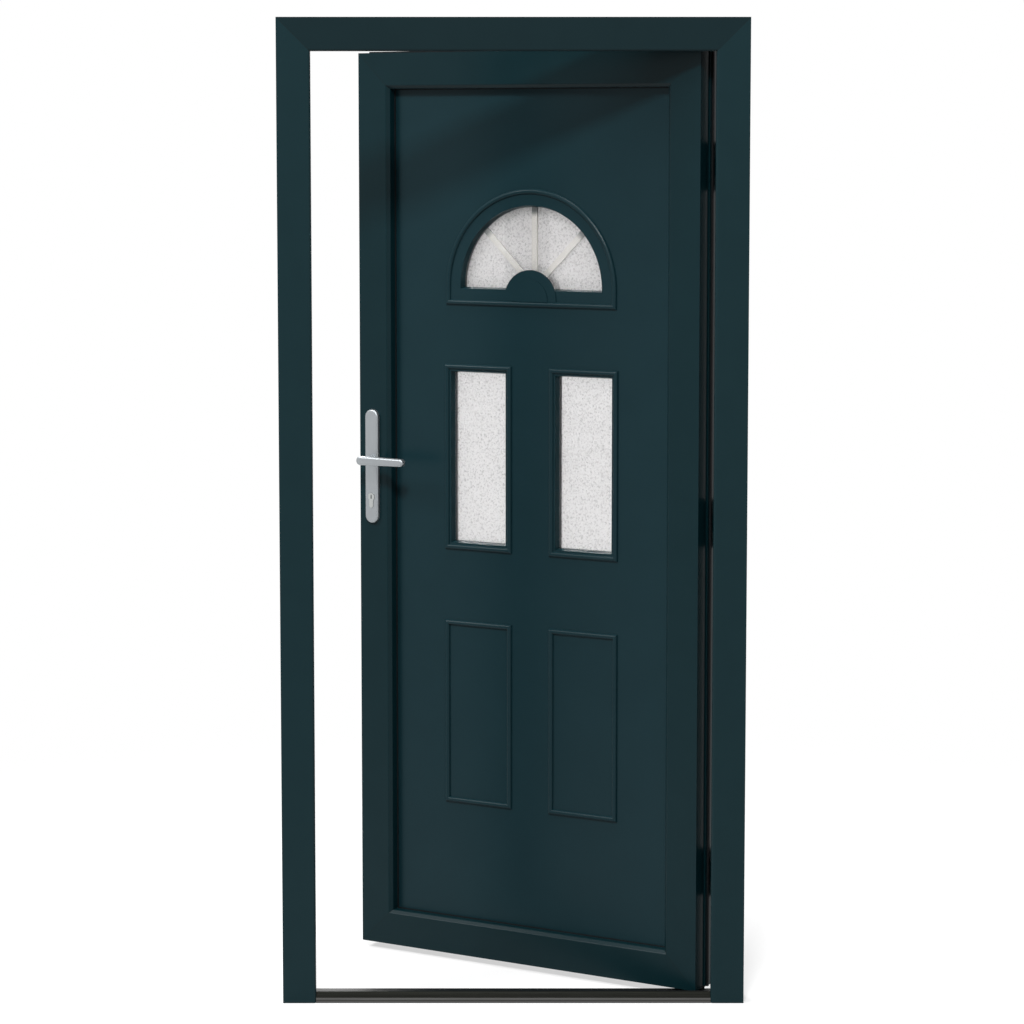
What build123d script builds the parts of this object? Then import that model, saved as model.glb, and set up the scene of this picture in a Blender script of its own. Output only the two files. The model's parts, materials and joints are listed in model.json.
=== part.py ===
"""Panelled front door in its frame.

An inward-opening leaf on three hinges, with a low threshold, a fanlight over two upright windows,
lever handles and a three-point lock. Lengths in millimetres. X runs across the door, -Y is outdoors
and Z is up. The leaf is drawn shut and swung to its open rest place at the end.
"""
import os
from math import atan2, degrees

from build123d import *

os.makedirs("parts", exist_ok=True)

# Frame: hollow jambs and head with a stop leg on the outdoor side
frame_width = 980
frame_height = 2080
frame_depth = 82
frame_face = 70
frame_wall = 3
stop_depth = 18
edge_round = 5
fixing_bore = 9
fixing_end = 150
fixing_count = 4

# Leaf place in the frame
leaf_overlap = 7
leaf_gap = 6
seal_room = 4
leaf_bottom = 15
open_angle = 31

# Stiles and rails of the leaf
leaf_depth = 70
sash_flat = 71
bevel_width = 8
bevel_depth = 7
bevel_round = 4
sash_wall = 3
edge_wall = 6
front_room = 7
bead_floor = 58
groove_width = 16
groove_depth = 3

# Steel channels inside the hollow bars
steel_wall = 2
steel_room = 0.5

# Moulded panel, its seal and the beads that hold it from indoors
panel_set_back = 27
panel_thick = 30
panel_room = 4
panel_seal_thick = 3
panel_seal_inset = 8
panel_seal_show = 2
seal_round = 1
bead_nose = 2
bead_slope_run = 14

# Raised moulding on the panel
bead_width = 11
bead_height = 6
bead_round = 5.2

# Windows: cover is how far a window frame reaches past the glass it shows
glass_sink = 13
pane_thick = 4
pane_gap = 6
pane_lap = 6
leg_width = 8
cut_room = 0.3
band_height = 1
reveal_run = 3
spacer_width = 5
upright_width = 135
upright_height = 375
upright_offset = 133
upright_cover = 18
arch_radius = 175
arch_drop = 2
arch_cover = 39
hub_radius = 65
hub_sink = 24
hub_height = 3
hub_lip = 8
hub_step_radius = 44
hub_step_height = 1.5
bar_width = 13
bar_start = 30
bar_room = 0.5
bar_angles = (45, 90, 135)

# Shares of the panel's free height below, between and under the blind mouldings, windows and fanlight
gap_shares = (0.34, 0.207, 0.171)

# Seals
frame_seal_width = 7
frame_seal_inset = 3
seal_clear = 0.3
leaf_seal_width = 5
leaf_seal_reach = 4
leaf_seal_inset = 5
bottom_seal_room = 0.5
bottom_seal_lip = 3

# Threshold
sill_height = 10
sill_set_back = 1
sill_nose = 6
sill_first_tread = 11
sill_second_tread = 17
sill_riser_run = 1.5
sill_wall = 2
sill_rib_width = 5
sill_groove_width = 2
sill_groove_depth = 1
sill_groove_pitch = 9
sill_groove_count = 6
sill_room_count = 3

# Hinges
hinge_side_off = 11
hinge_stand_off = 6
barrel_radius = 9
pin_radius = 5
pin_head_radius = 8.4
pin_head_height = 4
frame_knuckle = 28
leaf_knuckle = 40
knuckle_gap = 0.5
wing_thick = 5
wing_width = 38
wing_edge = 1
wing_corner = 5
hinge_end = 245
hinge_names = ("lower", "middle", "upper")
running_fit = 0.05

# Lock, cylinder and bolts
handle_height = 1118
backset = 35
cylinder_drop = 85
case_thick = 14
case_back = 52
case_above = 50
case_below = 118
box_back = 46
box_height = 90
upper_box_drop = 257
lower_box_rise = 405
face_end = 140
lock_room = 0.1
latch_thick = 12
latch_height = 18
latch_rise = 27
latch_length = 34
latch_throw = 12
bolt_thick = 10
deadbolt_height = 30
deadbolt_drop = 43
deadbolt_grip = 24
bolt_height = 28
bolt_grip = 18
bolt_throw = 20
bolt_tip_round = 2
keep_thick = 2
keep_width = 24
keep_margin = 22
keep_room = 1
keep_corner = 4
euro_round = 8.5
euro_stem = 10
euro_total = 33
euro_proud = 1
plug_radius = 6.5
key_width = 2.4
key_height = 8.6
key_depth = 22
cam_thick = 9.6
cam_width = 7
cam_reach = 13.5
cam_room = 0.3
follower_radius = 10

# Handles
plate_width = 34
plate_height = 255
plate_thick = 9
plate_round = 4
plate_above = 111
neck_radius = 8
neck_length = 36
neck_seat = 6
collar_radius = 12
collar_height = 3
lever_reach = 105
lever_root = 10
lever_tip = 8.5
lever_thick = 12
lever_round = 4.5
spindle_side = 8
spindle_room = 0.1
spindle_entry = 22
spindle_hole = 6.5
screw_radius = 2.5
screw_head = 5
screw_rise = 92
screw_drop = 127
screw_bite = 5
screw_room = 0.3
overrun = 1

# Places worked out from the sizes above
half_frame = frame_width / 2
front = -frame_depth / 2
back = frame_depth / 2
leaf_inset = frame_face - leaf_overlap
rebate = leaf_inset - leaf_gap
half_leaf = half_frame - leaf_inset
leaf_top = frame_height - leaf_inset
leaf_height = leaf_top - leaf_bottom
leaf_front = front + stop_depth + seal_room
leaf_back = leaf_front + leaf_depth
sash_lip = sash_flat + bevel_width
lip_back = panel_set_back - panel_seal_thick
panel_back = panel_set_back + panel_thick
sill_stop = leaf_bottom + leaf_overlap
lock_plane = leaf_depth / 2
axis_x = half_leaf + hinge_side_off
axis_y = leaf_back + hinge_stand_off
barrel_length = leaf_knuckle + 2 * (frame_knuckle + knuckle_gap)
lock_x = -half_leaf + backset
cylinder_height = handle_height - cylinder_drop
latch_height_place = handle_height + latch_rise
deadbolt_place = handle_height - deadbolt_drop
upper_box_place = leaf_top - upper_box_drop
lower_box_place = leaf_bottom + lower_box_rise
glass_front = panel_set_back + glass_sink
glass_back = glass_front + 2 * pane_thick + pane_gap
upright_outer = upright_height + 2 * upright_cover
arch_outer = arch_radius + arch_drop + 2 * arch_cover
free_height = leaf_height - 2 * sash_lip - 2 * upright_outer - arch_outer
blind_gap, window_gap, arch_gap = [free_height * share for share in gap_shares]
blind_bottom = leaf_bottom + sash_lip + blind_gap + upright_cover
upright_bottom = blind_bottom + upright_outer + window_gap
arch_centre_height = upright_bottom + upright_height + upright_cover + arch_gap + arch_cover + arch_drop
hinge_middle = (leaf_bottom + leaf_top) / 2
hinge_places = (leaf_bottom + hinge_end, hinge_middle, leaf_top - hinge_end)
swing = Location((axis_x, axis_y, 0)) * Rotation(0, 0, -open_angle) * Location((-axis_x, -axis_y, 0))

UP = Vector(0, 0, 1)
RIGHT = Vector(1, 0, 0)
frame_nodes = {}
leaf_nodes = {}


def outdoor_plane(depth, x=0, z=0):
    """Plane a given depth behind the leaf's outdoor face, looking outdoors."""
    return Plane(origin=(x, leaf_front + depth, z), x_dir=(1, 0, 0), z_dir=(0, -1, 0))


def indoor_plane(depth, x=0, z=0):
    """The same plane looking indoors, with its x axis towards the lock side."""
    return Plane(origin=(x, leaf_front + depth, z), x_dir=(-1, 0, 0), z_dir=(0, 1, 0))


def patch(x0, x1, y0, y1, mode=Mode.ADD):
    """Rectangle between two corners of the active sketch."""
    with Locations(((x0 + x1) / 2, (y0 + y1) / 2)):
        Rectangle(x1 - x0, y1 - y0, mode=mode)


def block(x0, x1, y0, y1, z0, z1, mode=Mode.ADD):
    """Box between two corners of the active part."""
    with Locations(((x0 + x1) / 2, (y0 + y1) / 2, (z0 + z1) / 2)):
        Box(x1 - x0, y1 - y0, z1 - z0, mode=mode)


def frame_section():
    """Frame bar: the stop leg outdoors, the rebate behind it and a chamber in each."""
    with BuildLine() as outline:
        Polyline(
            (0, 0),
            (frame_face, 0),
            (frame_face, stop_depth),
            (rebate, stop_depth),
            (rebate, frame_depth),
            (0, frame_depth),
            close=True,
        )
    make_face(outline.edges())
    fillet(vertices().sort_by(lambda v: v.X - v.Y)[-1:], radius=edge_round)
    patch(frame_wall, frame_face - frame_wall, frame_wall, stop_depth - frame_wall, Mode.SUBTRACT)
    patch(frame_wall, rebate - frame_wall, stop_depth, frame_depth - frame_wall, Mode.SUBTRACT)


def frame_steel_section():
    """Channel in the frame's main chamber, open towards the rebate."""
    low = stop_depth + steel_room
    high = frame_depth - frame_wall - steel_room
    far = rebate - frame_wall - steel_room
    near = frame_wall + steel_room
    patch(near, far, low, high)
    patch(near + steel_wall, far, low + steel_wall, high - steel_wall, Mode.SUBTRACT)


def sash_section():
    """Leaf bar: rounded bevel to the panel, hardware groove on the edge, open bead rebate indoors."""
    groove_low = lock_plane - groove_width / 2
    groove_high = lock_plane + groove_width / 2
    with BuildLine() as outline:
        Polyline(
            (0, 0),
            (sash_flat, 0),
            (sash_lip, bevel_depth),
            (sash_lip, lip_back),
            (bead_floor, lip_back),
            (bead_floor, leaf_depth),
            (0, leaf_depth),
            (0, groove_high),
            (groove_depth, groove_high),
            (groove_depth, groove_low),
            (0, groove_low),
            close=True,
        )
    make_face(outline.edges())
    fillet(vertices().sort_by(lambda v: v.X - v.Y)[-2:], radius=bevel_round)
    main_low = 2 * sash_wall + front_room
    patch(sash_wall, sash_flat - sash_wall, sash_wall, sash_wall + front_room, Mode.SUBTRACT)
    patch(edge_wall, bead_floor - sash_wall, main_low, leaf_depth - sash_wall, Mode.SUBTRACT)
    patch(bead_floor + sash_wall, sash_lip - sash_wall, main_low, lip_back - sash_wall, Mode.SUBTRACT)


def sash_steel_section():
    """Channel in a leaf bar's main chamber, open towards the hardware groove."""
    low = 2 * sash_wall + front_room + steel_room
    high = leaf_depth - sash_wall - steel_room
    far = bead_floor - sash_wall - steel_room
    patch(edge_wall + steel_room, far, low, high)
    patch(edge_wall + steel_room, far - steel_wall, low + steel_wall, high - steel_wall, Mode.SUBTRACT)


def panel_bead_section():
    """Bead clipped into the leaf bar indoors, sloping down to the panel."""
    nose = sash_lip
    with BuildLine() as outline:
        Polyline(
            (bead_floor, panel_back),
            (nose, panel_back),
            (nose, panel_back + bead_nose),
            (nose - bead_slope_run, leaf_depth),
            (bead_floor, leaf_depth),
            close=True,
        )
    make_face(outline.edges())


def bar(section, corner, run, inward, length, mitre_start, mitre_end):
    """Extrude a section along its run and mitre the ends that meet another bar."""
    with BuildPart() as piece:
        with BuildSketch(Plane(origin=corner, x_dir=inward, z_dir=run)):
            section()
        extrude(amount=length)
        if mitre_start:
            split(bisect_by=Plane(origin=corner, z_dir=run - inward), keep=Keep.TOP)
        if mitre_end:
            split(bisect_by=Plane(origin=corner + run * length, z_dir=-run - inward), keep=Keep.TOP)
    return piece.part


# Runs of the bars, clockwise from the lower left corner as seen from outdoors
frame_runs = {
    "left_jamb": (Vector(-half_frame, front, 0), UP, RIGHT, frame_height, False, True),
    "head": (Vector(-half_frame, front, frame_height), RIGHT, -UP, frame_width, True, True),
    "right_jamb": (Vector(half_frame, front, frame_height), -UP, -RIGHT, frame_height, True, False),
}
leaf_runs = {
    "lock_stile": (Vector(-half_leaf, leaf_front, leaf_bottom), UP, RIGHT, leaf_height, True, True),
    "top_rail": (Vector(-half_leaf, leaf_front, leaf_top), RIGHT, -UP, 2 * half_leaf, True, True),
    "hinge_stile": (Vector(half_leaf, leaf_front, leaf_top), -UP, -RIGHT, leaf_height, True, True),
    "bottom_rail": (Vector(half_leaf, leaf_front, leaf_bottom), -RIGHT, UP, 2 * half_leaf, True, True),
}
fixing_step = (frame_height - 2 * fixing_end) / (fixing_count - 1)
fixing_places = [fixing_end + fixing_step * i for i in range(fixing_count)]
keep_y = leaf_front + lock_plane


def fixing_holes(side):
    """Bores for the wall screws across one jamb."""
    plane = Plane(origin=(side * (half_frame + overrun), 0, 0), x_dir=(0, 1, 0), z_dir=(-side, 0, 0))
    with BuildSketch(plane) as bores:
        with Locations([(keep_y, side * -z) for z in fixing_places]):
            Circle(fixing_bore / 2)
    extrude(bores.sketch, amount=rebate + 2 * overrun, mode=Mode.SUBTRACT)


def bolt_windows():
    """Openings in the lock jamb's rebate wall for the latch and the bolts."""
    wall_in = -half_frame + rebate - frame_wall - overrun
    wall_out = -half_frame + rebate + overrun
    for place, height, thick in bolt_places:
        half_y = thick / 2 + keep_room
        half_z = height / 2 + keep_room
        low_z = place - half_z
        high_z = place + half_z
        block(wall_in, wall_out, keep_y - half_y, keep_y + half_y, low_z, high_z, Mode.SUBTRACT)


bolt_places = (
    (latch_height_place, latch_height, latch_thick),
    (deadbolt_place, deadbolt_height, bolt_thick),
    (upper_box_place, bolt_height, bolt_thick),
    (lower_box_place, bolt_height, bolt_thick),
)

with BuildPart() as left_jamb:
    add(bar(frame_section, *frame_runs["left_jamb"]))
    fixing_holes(-1)
    bolt_windows()
frame_nodes["left_jamb"] = left_jamb

with BuildPart() as right_jamb:
    add(bar(frame_section, *frame_runs["right_jamb"]))
    fixing_holes(1)
frame_nodes["right_jamb"] = right_jamb

with BuildPart() as head:
    add(bar(frame_section, *frame_runs["head"]))
frame_nodes["head"] = head

# Steel channels stop short of the welded corners
with BuildPart() as frame_steels:
    for name, (corner, run, inward, length, start, end) in frame_runs.items():
        first = rebate if start else steel_room
        last = rebate if end else steel_room
        add(bar(frame_steel_section, corner + run * first, run, inward, length - first - last, False, False))
    fixing_holes(-1)
    fixing_holes(1)
frame_nodes["frame_steels"] = frame_steels

# Threshold: stepped nose, stop rib and grooved tread, notched round the stop legs
with BuildPart() as threshold:
    first_edge = sill_set_back + sill_riser_run
    rib_front = stop_depth - sill_rib_width
    second_edge = (first_edge + rib_front) / 2
    half_sill = half_frame - rebate
    with BuildSketch(Plane(origin=(-half_sill, front, 0), x_dir=(0, 1, 0), z_dir=(1, 0, 0))):
        with BuildLine():
            Polyline(
                (sill_set_back, 0),
                (sill_set_back, sill_nose),
                (first_edge, sill_first_tread),
                (second_edge, sill_first_tread),
                (second_edge + sill_riser_run, sill_second_tread),
                (rib_front - sill_riser_run, sill_second_tread),
                (rib_front, sill_stop),
                (stop_depth, sill_stop),
                (stop_depth, sill_height),
                (frame_depth, sill_height),
                (frame_depth, 0),
                close=True,
            )
        make_face()
        tread = frame_depth - stop_depth
        with Locations((stop_depth + tread / 2, sill_height)):
            with GridLocations(sill_groove_pitch, 0, sill_groove_count, 1):
                Rectangle(sill_groove_width, 2 * sill_groove_depth, mode=Mode.SUBTRACT)
        room_pitch = tread / sill_room_count
        room_top = sill_height - sill_groove_depth - sill_wall
        with Locations((stop_depth + tread / 2, (sill_wall + room_top) / 2)):
            with GridLocations(room_pitch, 0, sill_room_count, 1):
                Rectangle(room_pitch - sill_wall, room_top - sill_wall, mode=Mode.SUBTRACT)
    extrude(amount=2 * half_sill)
    for side in (-1, 1):
        inner = half_frame - frame_face
        outer = half_sill + overrun
        low_x = min(side * inner, side * outer)
        high_x = max(side * inner, side * outer)
        notch_top = sill_stop + overrun
        block(low_x, high_x, front - overrun, front + stop_depth, -overrun, notch_top, Mode.SUBTRACT)
frame_nodes["threshold"] = threshold


def ring(outer, inner):
    """Rectangular ring between two rectangles given as left, right, bottom and top."""
    patch(*outer)
    patch(*inner, mode=Mode.SUBTRACT)


# Rubber seal on the back of the stop all round, down to the threshold's rib
with BuildPart() as frame_seal:
    seal_out = half_frame - rebate - frame_seal_inset
    seal_in = seal_out - frame_seal_width
    seal_top = frame_height - rebate - frame_seal_inset
    seal_low = sill_stop - frame_seal_width
    outer_ring = (-seal_out, seal_out, seal_low, seal_top)
    inner_ring = (-seal_in, seal_in, sill_stop, seal_top - frame_seal_width)
    with BuildSketch(outdoor_plane(-seal_room)):
        ring(outer_ring, inner_ring)
    extrude(amount=-(seal_room - seal_clear))
    fillet(frame_seal.faces().sort_by(Axis.Y)[-1].edges(), radius=seal_round)
frame_nodes["frame_seal"] = frame_seal


def keep_plate(low, high, holes):
    """Flat keep on the rebate wall with a hole for each bolt that enters it."""
    plane = Plane(origin=(-half_frame + rebate, 0, 0), x_dir=(0, 1, 0), z_dir=(1, 0, 0))
    middle = (low + high) / 2
    with BuildSketch(plane) as plate:
        with Locations((keep_y, middle)):
            RectangleRounded(keep_width, high - low, keep_corner)
        for place, height, thick in holes:
            with Locations((keep_y, place)):
                Rectangle(thick + 2 * keep_room, height + 2 * keep_room, mode=Mode.SUBTRACT)
    extrude(plate.sketch, amount=keep_thick)


with BuildPart() as strike_plate:
    strike_low = deadbolt_place - deadbolt_height / 2 - keep_margin
    strike_high = latch_height_place + latch_height / 2 + keep_margin
    keep_plate(strike_low, strike_high, bolt_places[:2])
frame_nodes["strike_plate"] = strike_plate

with BuildPart() as bolt_keeps:
    for bolt_place in bolt_places[2:]:
        keep_half = bolt_height / 2 + keep_margin
        keep_plate(bolt_place[0] - keep_half, bolt_place[0] + keep_half, [bolt_place])
frame_nodes["bolt_keeps"] = bolt_keeps


def wing_plate(inner, outer, seat, middle):
    """Flat plate of a hinge wing on an indoor face."""
    plane = Plane(origin=((inner + outer) / 2, seat, middle), x_dir=(-1, 0, 0), z_dir=(0, 1, 0))
    with BuildSketch(plane) as plate:
        RectangleRounded(wing_width, barrel_length, wing_corner)
    extrude(plate.sketch, amount=wing_thick)


def knuckle(web, low, high):
    """Barrel round the pin between two heights, with the web that joins it to its plate."""
    with BuildSketch(Plane.XY.offset(low)) as section:
        with BuildLine():
            Polyline(*web, close=True)
        make_face()
        with Locations((axis_x, axis_y)):
            Circle(barrel_radius)
            Circle(pin_radius + running_fit, mode=Mode.SUBTRACT)
    extrude(section.sketch, amount=high - low)


frame_wing_edge = half_frame - rebate + wing_edge
frame_web_edge = axis_x + barrel_radius + wing_thick
frame_web = (
    (axis_x, axis_y),
    (axis_x + barrel_radius, axis_y),
    (frame_web_edge, back + wing_thick),
    (frame_web_edge, back),
    (frame_wing_edge, back),
    (frame_wing_edge, back + wing_thick),
)
leaf_wing_edge = half_leaf - wing_edge
leaf_web_edge = leaf_wing_edge - barrel_radius
leaf_web = (
    (axis_x, leaf_back),
    (axis_x, axis_y + barrel_radius),
    (leaf_web_edge, leaf_back + wing_thick),
    (leaf_web_edge, leaf_back),
)
hinge_pairs = list(zip(hinge_names, hinge_places))
for hinge_name, hinge_place in hinge_pairs:
    knuckle_low = hinge_place - barrel_length / 2
    leaf_low = hinge_place - leaf_knuckle / 2
    leaf_high = hinge_place + leaf_knuckle / 2
    lower_span = (knuckle_low, knuckle_low + frame_knuckle)
    upper_span = (leaf_high + knuckle_gap, leaf_high + knuckle_gap + frame_knuckle)
    with BuildPart() as frame_wing:
        wing_plate(frame_wing_edge, frame_wing_edge + wing_width, back, hinge_place)
        for span in (lower_span, upper_span):
            knuckle(frame_web, *span)
    frame_nodes[hinge_name + "_hinge_frame_wing"] = frame_wing
    with BuildPart() as leaf_wing:
        wing_plate(leaf_wing_edge, leaf_wing_edge - wing_width, leaf_back, hinge_place)
        knuckle(leaf_web, leaf_low, leaf_high)
    leaf_nodes[hinge_name + "_hinge_leaf_wing"] = leaf_wing

# Hinge pins with a button head at each end of the barrel
with BuildPart() as hinge_pins:
    for hinge_name, hinge_place in hinge_pairs:
        half_barrel = barrel_length / 2
        with BuildSketch(Plane(origin=(axis_x, axis_y, hinge_place), x_dir=(1, 0, 0), z_dir=(0, -1, 0))):
            patch(0, pin_radius, -half_barrel, half_barrel)
            patch(0, pin_head_radius, half_barrel, half_barrel + pin_head_height)
            patch(0, pin_head_radius, -half_barrel - pin_head_height, -half_barrel)
        revolve(axis=Axis((axis_x, axis_y, 0), (0, 0, 1)))
frame_nodes["hinge_pins"] = hinge_pins


def euro_shape(room=0):
    """Outline of the profile cylinder: round head over a narrow stem."""
    stem_end = euro_total - euro_round - euro_stem / 2
    half_stem = euro_stem / 2 + room
    Circle(euro_round + room)
    patch(-half_stem, half_stem, -stem_end, 0)
    with Locations((0, -stem_end)):
        Circle(half_stem)


def lock_hole(sketch_shape, z):
    """Cut a shape right through the leaf at the lock's backset."""
    with BuildSketch(outdoor_plane(-overrun, lock_x, z)) as hole:
        sketch_shape()
    extrude(hole.sketch, amount=-(leaf_depth + 2 * overrun), mode=Mode.SUBTRACT)


def lock_holes():
    """Holes for the spindle, the cylinder and the handle screws."""
    lock_hole(lambda: Circle(spindle_hole), handle_height)
    lock_hole(lambda: euro_shape(cut_room), cylinder_height)
    for screw_place in (handle_height + screw_rise, handle_height - screw_drop):
        lock_hole(lambda: Circle(screw_radius + screw_room), screw_place)


box_spans = [
    (handle_height - case_below, handle_height + case_above, case_back),
    (upper_box_place - box_height / 2, upper_box_place + box_height / 2, box_back),
    (lower_box_place - box_height / 2, lower_box_place + box_height / 2, box_back),
]
case_low_y = keep_y - case_thick / 2
case_high_y = keep_y + case_thick / 2

with BuildPart() as lock_stile:
    add(bar(sash_section, *leaf_runs["lock_stile"]))
    lock_holes()
    for low, high, reach in box_spans:
        block(
            -half_leaf,
            -half_leaf + edge_wall + overrun,
            case_low_y - lock_room,
            case_high_y + lock_room,
            low - lock_room,
            high + lock_room,
            Mode.SUBTRACT,
        )
leaf_nodes["lock_stile"] = lock_stile

for name in ("top_rail", "hinge_stile", "bottom_rail"):
    with BuildPart() as leaf_bar:
        add(bar(sash_section, *leaf_runs[name]))
    leaf_nodes[name] = leaf_bar

with BuildPart() as leaf_steels:
    for name, (corner, run, inward, length, start, end) in leaf_runs.items():
        steel_length = length - 2 * bead_floor
        add(bar(sash_steel_section, corner + run * bead_floor, run, inward, steel_length, False, False))
    lock_holes()
leaf_nodes["leaf_steels"] = leaf_steels

for name, bar_run in leaf_runs.items():
    with BuildPart() as panel_bead:
        add(bar(panel_bead_section, *bar_run))
    leaf_nodes[name + "_bead"] = panel_bead


def upright_face(side, grow, mode=Mode.ADD, low=upright_bottom, high=upright_bottom + upright_height):
    """Upright window outline, grown outward by a given margin."""
    middle = side * upright_offset
    half = upright_width / 2 + grow
    patch(middle - half, middle + half, low - grow, high + grow, mode)


def blind_face(side, grow, mode=Mode.ADD):
    """Outline of a blind moulding below the windows, as large as a window frame."""
    upright_face(side, grow, mode, blind_bottom, blind_bottom + upright_height)


def arch_face(side, grow, mode=Mode.ADD):
    """Fanlight outline: a half circle on a short straight foot, grown by a given margin."""
    radius = arch_radius + grow
    foot = arch_centre_height - arch_drop - grow
    with BuildLine() as outline:
        CenterArc((0, arch_centre_height), radius, 0, 180)
        Polyline(
            (-radius, arch_centre_height),
            (-radius, foot),
            (radius, foot),
            (radius, arch_centre_height),
        )
    make_face(outline.edges(), mode=mode)


def bead_ring(plane, outline, side, cover):
    """Rounded raised bead along the outer edge of an outline."""
    with BuildPart() as bead:
        with BuildSketch(plane):
            outline(side, cover)
            outline(side, cover - bead_width, Mode.SUBTRACT)
        extrude(amount=bead_height)
        crest = bead.faces().sort_by(Axis(plane.origin, plane.z_dir))[-1]
        fillet(crest.edges(), radius=bead_round)
    return bead.part


panel_faces = (outdoor_plane(panel_set_back), indoor_plane(panel_back))
panel_left = -half_leaf + bead_floor + panel_room
panel_low = leaf_bottom + bead_floor + panel_room
panel_high = leaf_top - bead_floor - panel_room

with BuildPart() as door_panel:
    with BuildSketch(outdoor_plane(panel_set_back)):
        patch(panel_left, -panel_left, panel_low, panel_high)
        arch_face(1, leg_width + cut_room, Mode.SUBTRACT)
        for side in (-1, 1):
            upright_face(side, leg_width + cut_room, Mode.SUBTRACT)
    extrude(amount=-panel_thick)
    for plane in panel_faces:
        for side in (-1, 1):
            add(bead_ring(plane, blind_face, side, upright_cover))
leaf_nodes["door_panel"] = door_panel

with BuildPart() as panel_seal:
    inner_edge = sash_lip + panel_seal_show
    outer_edge = bead_floor + panel_seal_inset
    seal_rings = []
    for inset in (outer_edge, inner_edge):
        reach = half_leaf - inset
        seal_rings.append((-reach, reach, leaf_bottom + inset, leaf_top - inset))
    with BuildSketch(outdoor_plane(lip_back)):
        ring(*seal_rings)
    extrude(amount=-panel_seal_thick)
leaf_nodes["panel_seal"] = panel_seal


def window_frame(plane, outline, side, cover, sink, with_hub):
    """Window frame on one face of the panel: bead, flat band and a leg that reaches in to the glass."""
    reveal = degrees(atan2(reveal_run, sink + band_height))
    add(bead_ring(plane, outline, side, cover))
    with BuildSketch(plane) as band:
        outline(side, cover - bead_width / 2)
    extrude(band.sketch, amount=band_height)
    with BuildSketch(plane) as leg:
        outline(side, leg_width)
    extrude(leg.sketch, amount=-sink)
    with BuildSketch(plane.offset(-sink)) as sight:
        outline(side, 0)
    extrude(sight.sketch, amount=sink + band_height, taper=-reveal, mode=Mode.SUBTRACT)
    if with_hub:
        hub_centre = (0, arch_centre_height - arch_drop - hub_sink)
        hub_layers = (
            (hub_radius - hub_lip, -sink, leg_width, sink),
            (hub_radius, 0, cover - bead_width, hub_height),
            (hub_step_radius, 0, cover - bead_width, hub_height + hub_step_height),
        )
        for radius, base, limit, height in hub_layers:
            with BuildSketch(plane.offset(base)) as hub:
                with Locations(hub_centre):
                    Circle(radius)
                outline(side, limit, Mode.INTERSECT)
            extrude(hub.sketch, amount=height)


back_sink = panel_back - glass_back
for face_name, plane, sink, mirror in (
    ("outer", panel_faces[0], glass_sink, 1),
    ("inner", panel_faces[1], back_sink, -1),
):
    with BuildPart() as arch_frame:
        window_frame(plane, arch_face, 1, arch_cover, sink, True)
    leaf_nodes["arch_" + face_name + "_frame"] = arch_frame
    for side, side_name in ((-1, "left"), (1, "right")):
        with BuildPart() as upright_frame:
            window_frame(plane, upright_face, side * mirror, upright_cover, sink, False)
        leaf_nodes[side_name + "_window_" + face_name + "_frame"] = upright_frame


def glass_layer(depth, thick, outlines, inner_grow=None):
    """One layer of the sealed units: a pane, or a spacer ring where an inner margin is given."""
    with BuildPart() as layer:
        for outline, side in outlines:
            with BuildSketch(outdoor_plane(depth)):
                outline(side, pane_lap)
                if inner_grow is not None:
                    outline(side, inner_grow, Mode.SUBTRACT)
            extrude(amount=-thick)
    return layer


glass_layers = (
    ("outer_pane", glass_front, pane_thick, None),
    ("spacer", glass_front + pane_thick, pane_gap, pane_lap - spacer_width),
    ("inner_pane", glass_front + pane_thick + pane_gap, pane_thick, None),
)
for layer_name, depth, thick, inner_grow in glass_layers:
    leaf_nodes["arch_" + layer_name] = glass_layer(depth, thick, ((arch_face, 1),), inner_grow)
    uprights = ((upright_face, -1), (upright_face, 1))
    leaf_nodes["window_" + layer_name + "s"] = glass_layer(depth, thick, uprights, inner_grow)

# Glazing bars fan out between the panes from under the hub
with BuildPart() as arch_bars:
    bar_end = arch_radius - bar_room
    with BuildSketch(outdoor_plane(glass_front + pane_thick + bar_room, 0, arch_centre_height)):
        for angle in bar_angles:
            with PolarLocations((bar_start + bar_end) / 2, 1, start_angle=angle):
                Rectangle(bar_end - bar_start, bar_width)
    extrude(amount=-(pane_gap - 2 * bar_room))
leaf_nodes["arch_bars"] = arch_bars

# Lip seal on the leaf's edges near the frame's indoor face, left, top and right
with BuildPart() as leaf_seal:
    reach = half_leaf + leaf_seal_reach
    with BuildSketch(outdoor_plane(back - leaf_seal_inset - leaf_front)):
        patch(-reach, reach, leaf_bottom, leaf_top + leaf_seal_reach)
        patch(-half_leaf, half_leaf, leaf_bottom - overrun, leaf_top, Mode.SUBTRACT)
    extrude(amount=leaf_seal_width)
leaf_nodes["leaf_seal"] = leaf_seal

# Bottom seal pressed into the bottom rail's groove
with BuildPart() as bottom_seal:
    with BuildSketch(Plane(origin=(-half_leaf, keep_y, leaf_bottom), x_dir=(0, 1, 0), z_dir=(1, 0, 0))):
        lip_low = sill_height + bottom_seal_room - leaf_bottom
        patch(-groove_width / 2, groove_width / 2, 0, groove_depth)
        for lip in (-1, 1):
            lip_middle = lip * (groove_width - bottom_seal_lip) / 2
            patch(lip_middle - bottom_seal_lip / 2, lip_middle + bottom_seal_lip / 2, lip_low, 0)
    extrude(amount=2 * half_leaf)
    for end_corner, end_dir in ((-half_leaf, 1), (half_leaf, -1)):
        end_plane = Plane(origin=(end_corner, keep_y, leaf_bottom), z_dir=(end_dir, 0, -1))
        split(bisect_by=end_plane, keep=Keep.TOP)
leaf_nodes["bottom_seal"] = bottom_seal

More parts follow.
